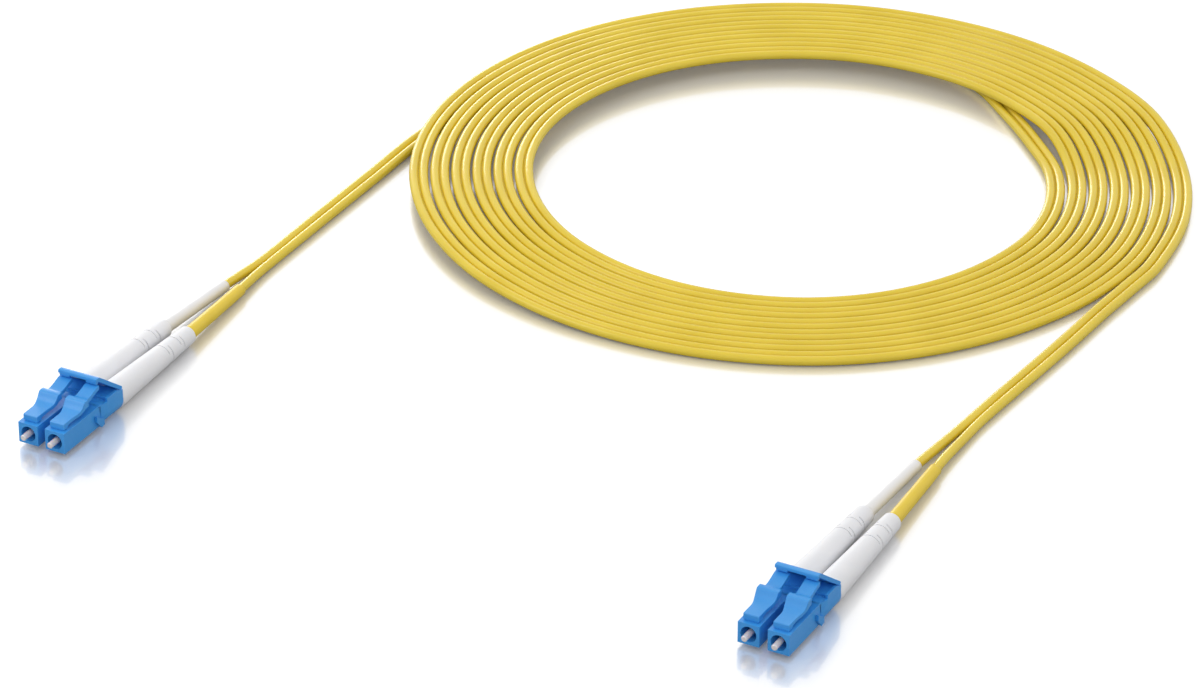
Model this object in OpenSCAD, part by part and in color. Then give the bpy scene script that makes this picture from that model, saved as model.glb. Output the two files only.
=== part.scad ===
// Duplex fibre optic patch cord: two latched duplex connectors joined by a coiled twin cord.
// Millimetres. +X runs across the connectors, +Y from their noses to the coil, +Z up.
// The origin is on the floor, at the middle of the two connectors' box.

/* [Connector places] */
// Distance between the middles of the two connectors
connector_pitch = 158.8; // [60:0.1:240]
// How much further back the second connector lies
connector_stagger = 1.8; // [0:0.1:12]
// Height of the plugs' axes over the floor
axis_height = 3.0; // [3:0.05:6]

/* [Plug housing] */
// Distance between the two plugs of a connector
plug_pitch = 6.25; // [6.2:0.01:7]
// Width and height of the square nose
nose_w = 4.52; // [4.3:0.01:4.8]
// Length of the square nose
nose_len = 12.85; // [11:0.05:15]
// Diameter of the recess round the ferrule
recess_d = 3.3; // [2.9:0.05:3.6]
// Depth of the recess round the ferrule
recess_depth = 3.6; // [2:0.05:4.5]
// Thickness of the wall that stops the ferrule's flange
stop_wall = 0.8; // [0.5:0.05:1.2]
// Diameter of the round barrel behind the nose
barrel_d = 4.4; // [4:0.05:4.6]
// Length of the round barrel
barrel_len = 3.55; // [3:0.05:5]
// Length of the square top that carries on over the barrel
top_len = 2.6; // [1:0.05:3]

/* [Ferrule, flange and spring] */
// Ferrule diameter
ferrule_d = 1.249; // [1:0.001:1.4]
// Ferrule length
ferrule_len = 6.5; // [6:0.1:8]
// How far the ferrule's tip stands out of the nose
tip_out = 1.9; // [1:0.05:3]
// Chamfer of the ferrule's tip
tip_chamfer = 0.15; // [0.05:0.01:0.2]
// Diameter of the glass fibre
fibre_d = 0.125; // [0.1:0.005:0.2]
// Diameter of the buffered fibre behind the ferrule
buffer_d = 0.9; // [0.5:0.05:1]
// Diameter of the flange's collar
collar_d = 2.9; // [2.5:0.05:3]
// Length of the flange's collar
collar_len = 1.0; // [0.6:0.05:1.5]
// Diameter of the flange's hub, which the spring goes round
hub_d = 1.7; // [1.4:0.05:1.8]
// Length of the flange's hub
hub_len = 2.1; // [1:0.1:3]
// Wire diameter of the ferrule's spring
spring_wire_d = 0.3; // [0.2:0.01:0.35]
// Length of the fitted spring
spring_len = 6.6; // [5:0.1:7.5]
// Turns of the spring
spring_turns = 6; // [4:1:8]

/* [Rear body and crimp] */
// Diameter of the rear body's bore for the buffered fibre
rear_bore_d = 1.3; // [1.1:0.05:1.4]
// Diameter of the crimp stem
stem_d = 2.2; // [1.9:0.05:2.4]
// Length of the crimp stem
stem_len = 5.0; // [3:0.1:7]
// Outer diameter of the crimp sleeve
crimp_d = 3.2; // [2.8:0.05:3.4]
// Length of the crimp sleeve
crimp_len = 6.8; // [5.5:0.1:8]

/* [Latch arm] */
// Width of the arm's front block
arm_w = 3.3; // [2.6:0.05:3.8]
// Width of the arm over its two lugs
lug_w = 4.5; // [3.9:0.05:4.5]
// Width of the arm's tail
tail_w = 3.0; // [2:0.05:3.4]
// Distance of the arm's front face behind the nose face
arm_front = 1.0; // [0.6:0.05:1.5]
// Distance of the tail's end behind the nose face
tail_end = 14.2; // [13.9:0.05:14.5]

/* [Clip and trigger] */
// Outer width of the clip
clip_w = 12.0; // [11.9:0.05:13]
// Distance of the clip's rear face behind the nose face
clip_rear = 20.4; // [20:0.05:22]
// Height of the clip's deck over the plugs' axes
deck_top = 2.7; // [2.6:0.05:2.9]
// Height of the clip's side walls over the plugs' axes
wall_top = 3.14; // [3:0.01:3.3]
// Width of the trigger's bar
bar_w = 9.1; // [8:0.1:11]
// Distance of the bar's front face behind the nose face
bar_front = 13.4; // [13:0.05:13.8]
// Height of the bar's top over the plugs' axes
bar_top = 7.66; // [7.3:0.01:8.4]
// Height of the bar
bar_h = 0.8; // [0.6:0.05:0.9]
// Radius of the trigger's rear knuckle, half the thickness of its plate
knuckle_r = 0.42; // [0.3:0.01:0.45]
// Width of each pad under the bar
pad_w = 2.4; // [1.5:0.1:3]

/* [Boot and marker sleeves] */
// Diameter of the boot at the clip
boot_d = 6.0; // [5.4:0.05:6.2]
// Diameter of the boot at its end
boot_end_d = 4.0; // [3.4:0.05:4.6]
// Length of the boot
boot_len = 30.0; // [27:0.5:36]
// Depth of the boot's front hollow, which holds the crimp sleeve
boot_hollow_depth = 10.6; // [9:0.1:12]
// How far the boot's end hangs below its front
boot_droop = 0.7; // [0:0.05:0.75]
// How far the right boot's end leans towards the other boot
right_toe_in = 0.7; // [0:0.05:0.8]
// How far the left boot's end leans away from the other boot
left_toe_out = 0.25; // [0:0.05:0.6]
// Distances of the boot's flex slots behind the clip
slot_places = [19.3, 20.5, 24.0, 25.2];
// Width of a flex slot
slot_w = 0.3; // [0.2:0.05:0.5]
// Depth of a flex slot
slot_depth = 0.45; // [0.2:0.05:0.6]
// Arc of a flex slot
slot_arc = 136; // [60:1:150]
// Diameter of a marker sleeve at the boot
sleeve_d = 2.9; // [2.7:0.05:3.2]
// Diameter of a marker sleeve at its end
sleeve_end_d = 2.6; // [2.5:0.05:3]
// Length of a marker sleeve
sleeve_len = 22.5; // [15:0.1:24]

/* [Cord] */
// Diameter of one strand of the twin cord
cord_d = 2.0; // [1.8:0.05:2.05]
// Distance between the middles of the twin cord's strands
strand_pitch = 2.1; // [2.1:0.01:2.2]
// Radius of the coil's innermost turn
coil_inner_r = 56.1; // [50:0.1:60]
// Growth of the coil's radius in one turn
coil_pitch = 4.55; // [4.52:0.01:5]

/* [Hidden] */

$fn = 64;

// Colours
BLUE = "#3f8fdc";
WHITE = "#ececee";
YELLOW = "#e6ce50";
CERAMIC = "#d8ccd0";
STEEL = "#b4b8bc";
BRASS = "#c9a45a";
GLASS = "#dfe9f2";

// Clearances
slide_gap = 0.1;
seat_gap = 0.05;
snug_gap = 0.04;
bond_gap = 0.005;
cut = 0.5;

// Stations behind the nose face, in the order in which they stand
stop_rear = recess_depth + stop_wall;
collar_rear = stop_rear + collar_len;
spigot_front = collar_rear + spring_len;
barrel_rear = nose_len + barrel_len;
stem_rear = clip_rear + stem_len;
crimp_front = clip_rear + 0.2;
crimp_rear = crimp_front + crimp_len;
boot_end = clip_rear + boot_len;

// Ferrule and flange
ferrule_rear = ferrule_len - tip_out;
neck_len = 1.8;
neck_front = stop_rear - neck_len;
neck_d = 2.3;
stop_hole_d = neck_d + 2 * slide_gap;
chamber_d = collar_d + 2 * slide_gap;
ferrule_travel = 0.8;
// The ferrule is ground to a slight taper where the flange is pressed on
press_front_r = ferrule_d / 2 - 0.02;
press_rear_r = ferrule_d / 2 - 0.05;
cone_depth = 0.6;

// The marker sleeves' ends, [left, right] of each connector: beside its middle and over the floor
sleeve_end_x = [[-2.9, 0.88], [-3.2, 0.95]];
sleeve_end_z = [[1.4, 1.44], [1.4, 1.65]];
sleeve_gap = 0.1;
sleeve_reach = boot_end + sleeve_gap + sleeve_len;

// Names and places of the connectors (0 and 1) and of their plugs (0 left, 1 right)
CONNECTORS = ["a", "b"];
SIDES = ["left", "right"];
connector_len = tip_out + sleeve_reach;
function connector_x(c) = (c - 0.5) * connector_pitch;
function nose_y(c) = tip_out - (connector_len + connector_stagger) / 2 + c * connector_stagger;
function plug_x(s) = (s - 0.5) * plug_pitch;

// ---------- shapes ----------

// A cylinder along Y between two stations
module rod(d, from, to) {
    translate([0, from, 0]) rotate([-90, 0, 0]) cylinder(d = d, h = to - from);
}

// A block centred on the plug's axis between two stations
module block(w, low, high, from, to) {
    translate([-w / 2, from, low]) cube([w, to - from, high - low]);
}

// A profile of [radius, station] points turned about the plug's axis
module turned(profile) {
    rotate([-90, 0, 0]) rotate_extrude() polygon(profile);
}

// A side view of [station, height] points, of a given width across X
module side_cut(profile, w) {
    rotate([90, 0, 90]) linear_extrude(w, center = true) polygon(profile);
}

// A plan of [x, station] points between two heights
module plan_cut(plan, low, high) {
    translate([0, 0, low]) linear_extrude(high - low) polygon(plan);
}

// The outline of a symmetric plan, from its right half
function mirrored(half) = concat(half, [for (i = [len(half) - 1 : -1 : 0]) [-half[i][0], half[i][1]]]);

module at_connector(c) {
    translate([connector_x(c), nose_y(c), axis_height]) children();
}

module at_plug(c, s) {
    at_connector(c) translate([plug_x(s), 0, 0]) children();
}

// ---------- plug ----------

module housing() {
    half = nose_w / 2;
    color(BLUE) difference() {
        union() {
            block(nose_w, -half, half, 0, nose_len);
            block(nose_w, 0, half, nose_len - cut, nose_len + top_len);
            rod(barrel_d, nose_len - cut, barrel_rear);
        }
        rod(recess_d, -cut, recess_depth);
        rod(stop_hole_d, recess_depth - cut, stop_rear + cut);
        rod(chamber_d, stop_rear, barrel_rear + cut);
    }
}

// The latch arm in side view, from its front block over the lugs to the tail
arm_hinge = [arm_front + 0.7, nose_w / 2 + 0.78];
arm_foot = nose_w / 2 + 0.15;
arm_side = [
    [arm_front, arm_foot],
    [arm_front, 3.62],
    [arm_front + 0.15, 3.74],
    [4.2, 3.74],
    [5.3, 3.78],
    [6.1, 3.9],
    [6.6, 4.12],
    [7.1, 4.62],
    [7.5, 5.25],
    [7.8, 5.5],
    [8.9, 5.54],
    [9.2, 5.42],
    [9.6, 5.06],
    [10.6, 5.08],
    [11.6, 5.34],
    [13.3, 5.89],
    [tail_end, 6.05],
    [tail_end, 5.1],
    [13.3, 4.9],
    [11.6, 4.4],
    [10.6, 4.15],
    [9.5, 4.0],
    [8.2, 3.95],
    [7.2, 3.5],
    [5.9, 3.1],
    [4.2, 2.9],
    [2.7, 2.85],
    [2.4, arm_foot]
];
arm_half_plan = [
    [arm_w / 2, arm_front - cut],
    [arm_w / 2, 4.2],
    [arm_w / 2 + 0.12, 5.1],
    [lug_w / 2 - 0.14, 6.4],
    [lug_w / 2, 7.2],
    [lug_w / 2, 9.2],
    [tail_w / 2, 9.2],
    [tail_w / 2, tail_end + cut]
];

module latch() {
    color(BLUE) intersection() {
        side_cut(arm_side, lug_w + cut);
        plan_cut(mirrored(arm_half_plan), 0, bar_top);
    }
}

module ferrule() {
    r = ferrule_d / 2;
    fibre_r = fibre_d / 2 + bond_gap;
    color(CERAMIC) turned([
        [fibre_r, -tip_out],
        [r - tip_chamfer, -tip_out],
        [r, tip_chamfer - tip_out],
        [r, neck_front],
        [press_front_r, neck_front],
        [press_rear_r, ferrule_rear],
        [buffer_d / 2 + bond_gap, ferrule_rear],
        [fibre_r, ferrule_rear - cone_depth]
    ]);
}

module ferrule_flange() {
    hub_rear = collar_rear + hub_len;
    color(STEEL) turned([
        [press_front_r + bond_gap, neck_front],
        [neck_d / 2, neck_front],
        [neck_d / 2, stop_rear],
        [collar_d / 2, stop_rear],
        [collar_d / 2, collar_rear],
        [hub_d / 2, collar_rear],
        [hub_d / 2, hub_rear],
        [buffer_d / 2 + bond_gap, hub_rear],
        [buffer_d / 2 + bond_gap, ferrule_rear + bond_gap],
        [press_rear_r + bond_gap, ferrule_rear + bond_gap]
    ]);
}

// The glass fibre and, behind the ferrule, its buffer
module fibre() {
    buffer_rear = stem_rear - ferrule_travel - 0.2;
    color(GLASS) turned([
        [0, -tip_out],
        [fibre_d / 2, -tip_out],
        [fibre_d / 2, ferrule_rear],
        [buffer_d / 2, ferrule_rear + 2 * bond_gap],
        [buffer_d / 2, buffer_rear],
        [0, buffer_rear]
    ]);
}

module spring() {
    wire_r = spring_wire_d / 2;
    coil_r = (hub_d + chamber_d) / 4;
    rings_per_turn = 8;
    sides = 6;
    rings = spring_turns * rings_per_turn;
    rise = spring_len - 2 * wire_r - 2 * seat_gap;
    color(STEEL) skin([
        for (i = [0 : rings])
            let (a = 360 * i / rings_per_turn, y = collar_rear + seat_gap + wire_r + rise * i / rings)
            [for (j = [0 : sides - 1])
                let (b = -360 * j / sides, r = coil_r + wire_r * cos(b))
                [r * cos(a), y + wire_r * sin(b), r * sin(a)]]
    ]);
}

module rear_body() {
    spigot_d = chamber_d - 2 * seat_gap;
    color(BLUE) difference() {
        union() {
            rod(spigot_d, spigot_front, barrel_rear + cut);
            rod(barrel_d, barrel_rear, clip_rear);
            rod(stem_d, clip_rear - cut, stem_rear);
        }
        rod(rear_bore_d, spigot_front - cut, stem_rear + cut);
    }
}

module crimp_sleeve() {
    color(BRASS) difference() {
        rod(crimp_d, crimp_front, crimp_rear);
        rod(stem_d + 2 * seat_gap, crimp_front - cut, stem_rear);
        rod(cord_d + 2 * seat_gap, stem_rear - cut, crimp_rear + cut);
    }
}

// ---------- boot and marker sleeves ----------

// How far a boot's end leans along +X
function boot_lean(s) = s == 0 ? -left_toe_out : -right_toe_in;

// A point on a boot's axis, a distance behind the clip, from the connector's middle on the plugs' axes
function boot_point(s, along) =
    [plug_x(s) + boot_lean(s) * along / boot_len, clip_rear + along, -boot_droop * along / boot_len];

module boot(s) {
    r = boot_d / 2;
    end_r = boot_end_d / 2;
    round_r = 0.4;
    bore_r = cord_d / 2 + 0.15;
    hollow_r = crimp_d / 2 + 0.3;
    slope = (r - end_r) / boot_len;
    color(WHITE) intersection() {
        translate([0, clip_rear, 0])
            rotate([-atan(boot_droop / boot_len), 0, -atan(boot_lean(s) / boot_len)])
            difference() {
                turned(concat(
                    [[bore_r, boot_len], [bore_r, boot_hollow_depth], [hollow_r, boot_hollow_depth - 0.5]],
                    [[hollow_r, -cut], [r + slope * cut, -cut]],
                    [for (a = [0 : 15 : 90])
                        [end_r - round_r * (1 - cos(a)), boot_len - round_r * (1 - sin(a))]]
                ));
                for (i = [0 : len(slot_places) - 1], half_turn = [0, 180]) {
                    slot_r = r - slope * slot_places[i];
                    rotate([0, half_turn + 90 * (i + 1), 0]) flex_slot(slot_r, slot_places[i]);
                }
            }
        block(2 * boot_d, -boot_d, boot_d, clip_rear, boot_end + boot_d);
    }
}

// One slot of the boot's staggered rings, centred on +X
module flex_slot(slot_r, along) {
    rotate([-90, 0, 0]) rotate([0, 0, -slot_arc / 2]) rotate_extrude(angle = slot_arc)
        translate([slot_r - slot_depth, along - slot_w / 2]) square([slot_depth + cut, slot_w]);
}

// A marker sleeve's two ends, from the connector's middle on the plugs' axes
function sleeve_start(s) = boot_point(s, boot_len) + [0, sleeve_gap, 0];
function sleeve_stop(c, s) = [sleeve_end_x[c][s], sleeve_reach, sleeve_end_z[c][s] - axis_height];

// The left leg's sleeve is white and the right leg's is yellow
module marker_sleeve(c, s) {
    run = sleeve_stop(c, s) - sleeve_start(s);
    bore_d = cord_d + 0.3;
    color([WHITE, YELLOW][s]) translate(sleeve_start(s))
        rotate([atan2(run[2], run[1]), 0, -atan2(run[0], run[1])])
        turned([
            [bore_d / 2, 0],
            [sleeve_d / 2, 0],
            [sleeve_end_d / 2, norm(run)],
            [bore_d / 2, norm(run)]
        ]);
}

// ---------- clip and trigger ----------

// Where the trigger turns: its station and its height over the plugs' axes
trigger_hinge = [clip_rear - 0.5, 2.95];
clip_front = nose_len + seat_gap;
wall_front = clip_front + 1.9;
top_rear = nose_len + top_len + seat_gap;

module clip() {
    shell_r = (clip_w - plug_pitch) / 2;
    half = clip_w / 2;
    front_half = (plug_pitch + nose_w) / 2;
    notch_floor = trigger_hinge[1] - knuckle_r - seat_gap;
    notch_front = trigger_hinge[0] - knuckle_r - 2 * seat_gap;
    color(BLUE) difference() {
        union() {
            intersection() {
                translate([0, clip_rear, 0]) rotate([90, 0, 0]) linear_extrude(clip_rear - clip_front) {
                    for (s = [0, 1]) translate([plug_x(s), 0]) circle(shell_r);
                    translate([-half, 0]) square([clip_w, wall_top]);
                    translate([-plug_pitch / 2, -1.6]) square([plug_pitch, 2]);
                }
                plan_cut(mirrored([
                    [front_half, clip_front - cut],
                    [front_half, clip_front],
                    [half, wall_front],
                    [half, clip_rear + cut]
                ]), -half, half);
            }
            for (side = [-1, 1]) clip_tooth(side, front_half + seat_gap, half);
        }
        for (s = [0, 1]) translate([plug_x(s), 0, 0]) {
            rod(barrel_d + 2 * seat_gap, clip_front - cut, clip_rear + cut);
            block(nose_w + 2 * snug_gap, 0, half, clip_front - cut, top_rear);
        }
        // the walls stand from their front up to the slope under the trigger
        block(clip_w + cut, nose_w / 2, half, clip_front - cut, wall_front);
        block(2 * front_half, nose_w / 2, half, clip_front - cut, top_rear);
        block(2 * front_half, deck_top, half, top_rear - cut, clip_rear + cut);
        side_cut([
            [notch_front - 1.1, wall_top],
            [notch_front, deck_top],
            [notch_front, notch_floor],
            [clip_rear + cut, notch_floor],
            [clip_rear + cut, half],
            [notch_front - 1.1, half]
        ], clip_w + cut);
    }
}

// A small tooth low on the clip's side, in front of its wall
module clip_tooth(side, inner, outer) {
    tooth = [[-2, -0.5], [-2, 0.8], [0.6, -0.9], [0.6, -2.1], [-0.5, -2.3]];
    translate([side * (inner + outer) / 2, clip_front, 0]) side_cut(tooth, outer - inner);
}

module trigger() {
    half = clip_w / 2;
    bar_rear = bar_front + 1.2;
    bar_low = bar_top - bar_h;
    plate_top = [bar_rear, bar_top];
    plate_taper = 3.2;
    slope = atan2(plate_top[1] - trigger_hinge[1], trigger_hinge[0] - plate_top[0]) - plate_taper;
    normal = [sin(slope), cos(slope)];
    top_root = trigger_hinge + knuckle_r * normal;
    low_root = trigger_hinge - knuckle_r * normal;
    pad_r = 0.5;
    color(BLUE) {
        intersection() {
            union() {
                side_cut([
                    [bar_front, bar_low],
                    [bar_front, bar_top - 0.16],
                    [bar_front + 0.16, bar_top],
                    plate_top,
                    top_root,
                    low_root,
                    [bar_rear, bar_low - 0.34],
                    [bar_rear - 0.4, bar_low]
                ], clip_w + cut);
                translate([0, trigger_hinge[0], trigger_hinge[1]]) rotate([0, 90, 0])
                    cylinder(r = knuckle_r, h = clip_w + cut, center = true);
            }
            plan_cut(mirrored([
                [bar_w / 2, bar_front - cut],
                [bar_w / 2, bar_rear],
                [half, clip_rear - 0.1],
                [half, clip_rear + cut]
            ]), 0, bar_top + cut);
        }
        for (s = [0, 1]) translate([plug_x(s), bar_front + 0.6, bar_low - 0.19]) rotate([0, 90, 0])
            cylinder(r = pad_r, h = pad_w, center = true);
    }
}

// ---------- cord ----------

coil_centre = [0, 137.4];
cord_z = cord_d / 2;

// Where the two strands of each end join into the twin cord: beside the connector's middle,
// and behind the marker sleeves' ends
join_offsets = [[-1.1, 13.45], [-0.55, 21.65]];
function join_point(c) =
    let (p = from_connector(c, [join_offsets[c][0], sleeve_reach + join_offsets[c][1], 0]))
    [p[0], p[1], cord_z];

// How each leg, [left, right] of each connector, and each lead strays from a straight line:
// the share of the way, how far sideways, and how far over the floor it lies
leg_bows = [
    [
        [[0.33, -0.15, 0.15]],
        [[0.54, -0.19, 0.15]]
    ],
    [
        [[0.31, -0.14, 0.1], [0.65, -0.05, 0]],
        [[0.22, -0.25, 0.45], [0.61, -0.2, 0.15]]
    ]
];
a_lead_bows = [[0.33, -0.07, 0], [0.67, -0.05, 0]];
b_lead_bows = [[0.15, 0.14, 0], [0.3, 0, 0], [0.52, 0.2, 0], [0.72, 0.1, 0], [0.87, -0.05, 0]];
function bowed(from, to, bows) = [
    for (b = bows)
        let (p = from + (to - from) * b[0])
        [p[0] + b[1], p[1], cord_z + b[2]]
];

// The first end of the cord runs in under the coil: its radius at each ring from 195 degrees down,
// over the radius of the innermost turn
ring_step = 15;
under_from = 195;
under_steps = [27.3, 21.7, 18.4, 16.5, 15.1, 13.7, 11.9, 9.5, 6.1, 1.3, -0.5, 0.3];
under_radii = [for (step = under_steps) coil_inner_r + step];
// The coil's radius grows from this angle on, and the coil ends after six whole turns
spiral_from = 68;
coil_last = (under_from + 6 * 360) / ring_step;

// How far every turn strays from an even spiral, at each ring from 0 degrees up
turn_strays = [
    0.3, 0.1, 0, -0.6, -1.85, -2.6, -3.3, -3.6, -3.9, -3.6, -3.0, -2.3,
    -1.5, -0.8, -0.3, -0.1, -0.2, -0.8, -1.2, -1.0, -0.5, -0.3, -0.2, 0
];

// The turns lie on the end that runs under them: they rise between the first two of these angles,
// run at full height to the third, and are down on the floor from the fourth
lift_h = cord_d + 0.5;
lift_angles = [25, 50, 200, 280];

function ring_angle(i) = under_from - ring_step * i;
function whole_angle(i) = (ring_angle(i) % 360 + 360) % 360;
function coil_radius(i) = i < len(under_radii)
    ? under_radii[i]
    : coil_inner_r + coil_pitch * (spiral_from - ring_angle(i)) / 360 + turn_strays[whole_angle(i) / ring_step];
function eased(angle, from, to) = (1 - cos(180 * min(max((angle - from) / (to - from), 0), 1))) / 2;
function lift(i) = i < len(under_radii)
    ? 0
    : lift_h * eased(whole_angle(i), lift_angles[0], lift_angles[1])
        * eased(whole_angle(i), lift_angles[3], lift_angles[2]);
function coil_point(i) = [
    coil_centre[0] + coil_radius(i) * cos(ring_angle(i)),
    coil_centre[1] + coil_radius(i) * sin(ring_angle(i)),
    cord_z + lift(i)
];
// The way from the cord's middle to its outer strand
function coil_out(i) = i == 0 ? [-1, 0, 0] : [cos(ring_angle(i)), sin(ring_angle(i)), 0];

// The twin cord's outline: two six-sided strands and the web between them
function strand_corners(middle, from) = [
    for (a = [from : 60 : from + 300]) [middle + cord_d / 2 * cos(a), cord_d / 2 * sin(a)]
];
twin_outline = concat(strand_corners(strand_pitch / 2, 210), strand_corners(-strand_pitch / 2, 30));
function twin_ring(middle, out) = [for (p = twin_outline) middle + out * p[0] + [0, 0, p[1]]];

// An eight-sided ring of one strand, square to the way it runs
leg_sides = 8;
function unit(v) = v / norm(v);
function leg_ring(middle, way) =
    let (across = unit(cross([0, 0, 1], way)), rise = cross(way, across))
    [for (j = [0 : leg_sides - 1])
        middle + cord_d / 2 * (cos(360 * j / leg_sides) * across + sin(360 * j / leg_sides) * rise)];

// The way a route runs at a point, straight along Y at both of its ends
function way_at(route, i, end_way) = i == 0 || i == len(route) - 1
    ? end_way
    : unit(route[i + 1] - route[i - 1]);

function sum_length(route) = len(route) < 2
    ? 0
    : norm(route[1] - route[0]) + sum_length([for (i = [1 : len(route) - 1]) route[i]]);
function middle_of(ring, i = 0) = i == len(ring) ? [0, 0, 0] : ring[i] / len(ring) + middle_of(ring, i + 1);

// A closed solid through a list of rings that all have as many points
module skin(rings) {
    n = len(rings[0]);
    last = len(rings) - 1;
    first_cap = (last + 1) * n;
    polyhedron(
        points = concat([for (ring = rings) each ring], [middle_of(rings[0]), middle_of(rings[last])]),
        faces = concat(
            [for (i = [0 : last - 1], j = [0 : n - 1])
                let (a = i * n + j, b = i * n + (j + 1) % n)
                each [[a, b, b + n], [a, b + n, a + n]]],
            [for (j = [0 : n - 1]) [first_cap, (j + 1) % n, j]],
            [for (j = [0 : n - 1]) [first_cap + 1, last * n + j, last * n + (j + 1) % n]]
        )
    );
}

module coil() {
    color(YELLOW) skin([for (i = [0 : coil_last]) twin_ring(coil_point(i), coil_out(i))]);
}

module lead(route) {
    color(YELLOW) skin([
        for (i = [0 : len(route) - 1])
            twin_ring(route[i], unit(cross([0, 0, 1], way_at(route, i, [0, sign(route[1][1] - route[0][1]), 0]))))
    ]);
}
coil_ends = [coil_point(0), coil_point(coil_last)];
a_lead_route = concat(
    [join_point(0)], bowed(join_point(0), coil_ends[0], a_lead_bows), [coil_ends[0]]
);
b_lead_route = concat(
    [coil_ends[1]], bowed(coil_ends[1], join_point(1), b_lead_bows), [join_point(1)]
);

// A leg's route from the crimp stem through its boot to the join
function from_connector(c, p) = p + [connector_x(c), nose_y(c), axis_height];
function boot_route(c, s) = concat(
    [for (y = [stem_rear, stem_rear + cord_d]) from_connector(c, [plug_x(s), y, 0])],
    [for (along = [boot_hollow_depth + 1, boot_len * 0.55, boot_len * 0.75, boot_len])
        from_connector(c, boot_point(s, along))]
);
function sleeve_route(c, s) = [
    for (share = [0.3, 0.65, 1])
        from_connector(c, sleeve_start(s) * (1 - share) + sleeve_stop(c, s) * share)
];
function leg_route(c, s) =
    let (
        held = concat(boot_route(c, s), sleeve_route(c, s)),
        leave = held[len(held) - 1],
        join = join_point(c) + [(s - 0.5) * strand_pitch, 0, 0]
    )
    concat(held, bowed(leave, join, leg_bows[c][s]), [join]);

module leg(c, s) {
    route = leg_route(c, s);
    color(YELLOW) skin([for (i = [0 : len(route) - 1]) leg_ring(route[i], way_at(route, i, [0, 1, 0]))]);
}

// The coil's least gap to itself, between the round strands of turns that lie side by side or cross
stations_per_ring = 4;
stations_per_turn = stations_per_ring * 360 / ring_step;
coil_strands = [
    for (i = [0 : coil_last - 1], k = [0 : stations_per_ring - 1])
        let (t = k / stations_per_ring)
        [for (side = [-1, 1])
            (coil_point(i) + side * strand_pitch / 2 * coil_out(i)) * (1 - t)
            + (coil_point(i + 1) + side * strand_pitch / 2 * coil_out(i + 1)) * t]
];
coil_gap = min([
    for (i = [0 : len(coil_strands) - 1 - stations_per_turn],
         k = [i + stations_per_turn : stations_per_turn : len(coil_strands) - 1],
         p = coil_strands[i], q = coil_strands[k])
        norm(p - q)
]) - cord_d;
coil_length = sum_length([for (i = [0 : coil_last]) coil_point(i)]);
union() {
    echo(str("Least gap of the coil to itself: ", coil_gap, " mm"));
    echo(str("Length of the coiled cord: ", coil_length, " mm"));
    echo(str("Length of the leads: ", [for (r = [a_lead_route, b_lead_route]) sum_length(r)], " mm"));
    echo(str("Length of the legs: ", [for (c = [0, 1], s = [0, 1]) sum_length(leg_route(c, s))], " mm"));
}

// ---------- the nodes ----------

coil();
lead(a_lead_route);  // a_lead
lead(b_lead_route);  // b_lead

for (c = [0, 1]) {
    connector = CONNECTORS[c];
    at_connector(c) clip();
    at_connector(c) trigger();
    for (s = [0, 1]) {
        plug = str(connector, "_", SIDES[s]);
        at_plug(c, s) housing();
        at_plug(c, s) latch();
        at_plug(c, s) ferrule();
        at_plug(c, s) ferrule_flange();
        at_plug(c, s) spring();
        at_plug(c, s) fibre();
        at_plug(c, s) rear_body();
        at_plug(c, s) crimp_sleeve();
        at_plug(c, s) boot(s);
        at_connector(c) marker_sleeve(c, s);
        leg(c, s);
    }
}
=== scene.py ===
"""Duplex fibre patch cord: a coiled twin cord with a latched duplex plug pair at each end."""

import math

import bmesh
import bpy
from mathutils import Matrix, Vector


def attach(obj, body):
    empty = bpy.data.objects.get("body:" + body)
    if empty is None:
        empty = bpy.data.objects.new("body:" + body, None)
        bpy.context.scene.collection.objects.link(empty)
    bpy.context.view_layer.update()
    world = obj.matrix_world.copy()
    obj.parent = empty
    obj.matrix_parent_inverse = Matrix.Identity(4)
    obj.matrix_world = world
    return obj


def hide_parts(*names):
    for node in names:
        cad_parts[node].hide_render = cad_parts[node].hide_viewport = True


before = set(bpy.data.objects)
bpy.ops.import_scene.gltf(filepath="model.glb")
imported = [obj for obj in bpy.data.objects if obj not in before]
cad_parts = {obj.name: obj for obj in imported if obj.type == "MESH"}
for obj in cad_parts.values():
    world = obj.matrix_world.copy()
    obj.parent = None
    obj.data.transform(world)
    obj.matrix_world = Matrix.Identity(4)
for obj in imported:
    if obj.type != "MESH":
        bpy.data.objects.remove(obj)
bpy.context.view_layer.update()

# ---------- sizes, in millimetres, as in the part's source ----------

MM = 0.001
ENDS = ("a", "b")
SIDES = ("left", "right")
END_X = {"a": -79.4, "b": 79.4}
NOSE_Y = {"a": -36.45, "b": -34.65}
PLUG_X = {"left": -3.125, "right": 3.125}
AXIS_Z = 3.0
NOSE_W = 4.52
NOSE_LEN = 12.85
CLIP_REAR = 20.4
STEM_REAR = 25.4
BOOT_LEN = 30.0
BOOT_DROOP = 0.7
BOOT_LEAN = {"left": -0.25, "right": -0.7}
SLEEVE_REACH = 73.0
SLEEVE_END = {
    ("a", "left"): (-2.9, SLEEVE_REACH, 1.4 - AXIS_Z),
    ("a", "right"): (0.88, SLEEVE_REACH, 1.44 - AXIS_Z),
    ("b", "left"): (-3.2, SLEEVE_REACH, 1.4 - AXIS_Z),
    ("b", "right"): (0.95, SLEEVE_REACH, 1.65 - AXIS_Z),
}
SLEEVE_GAP = Vector((0, 0.1, 0))
STRAND_D = 2.0
STRAND_PITCH = 2.1
COIL_CENTRE = (0.0, 137.4)
COIL_INNER_R = 56.1
COIL_PITCH = 4.55


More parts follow.
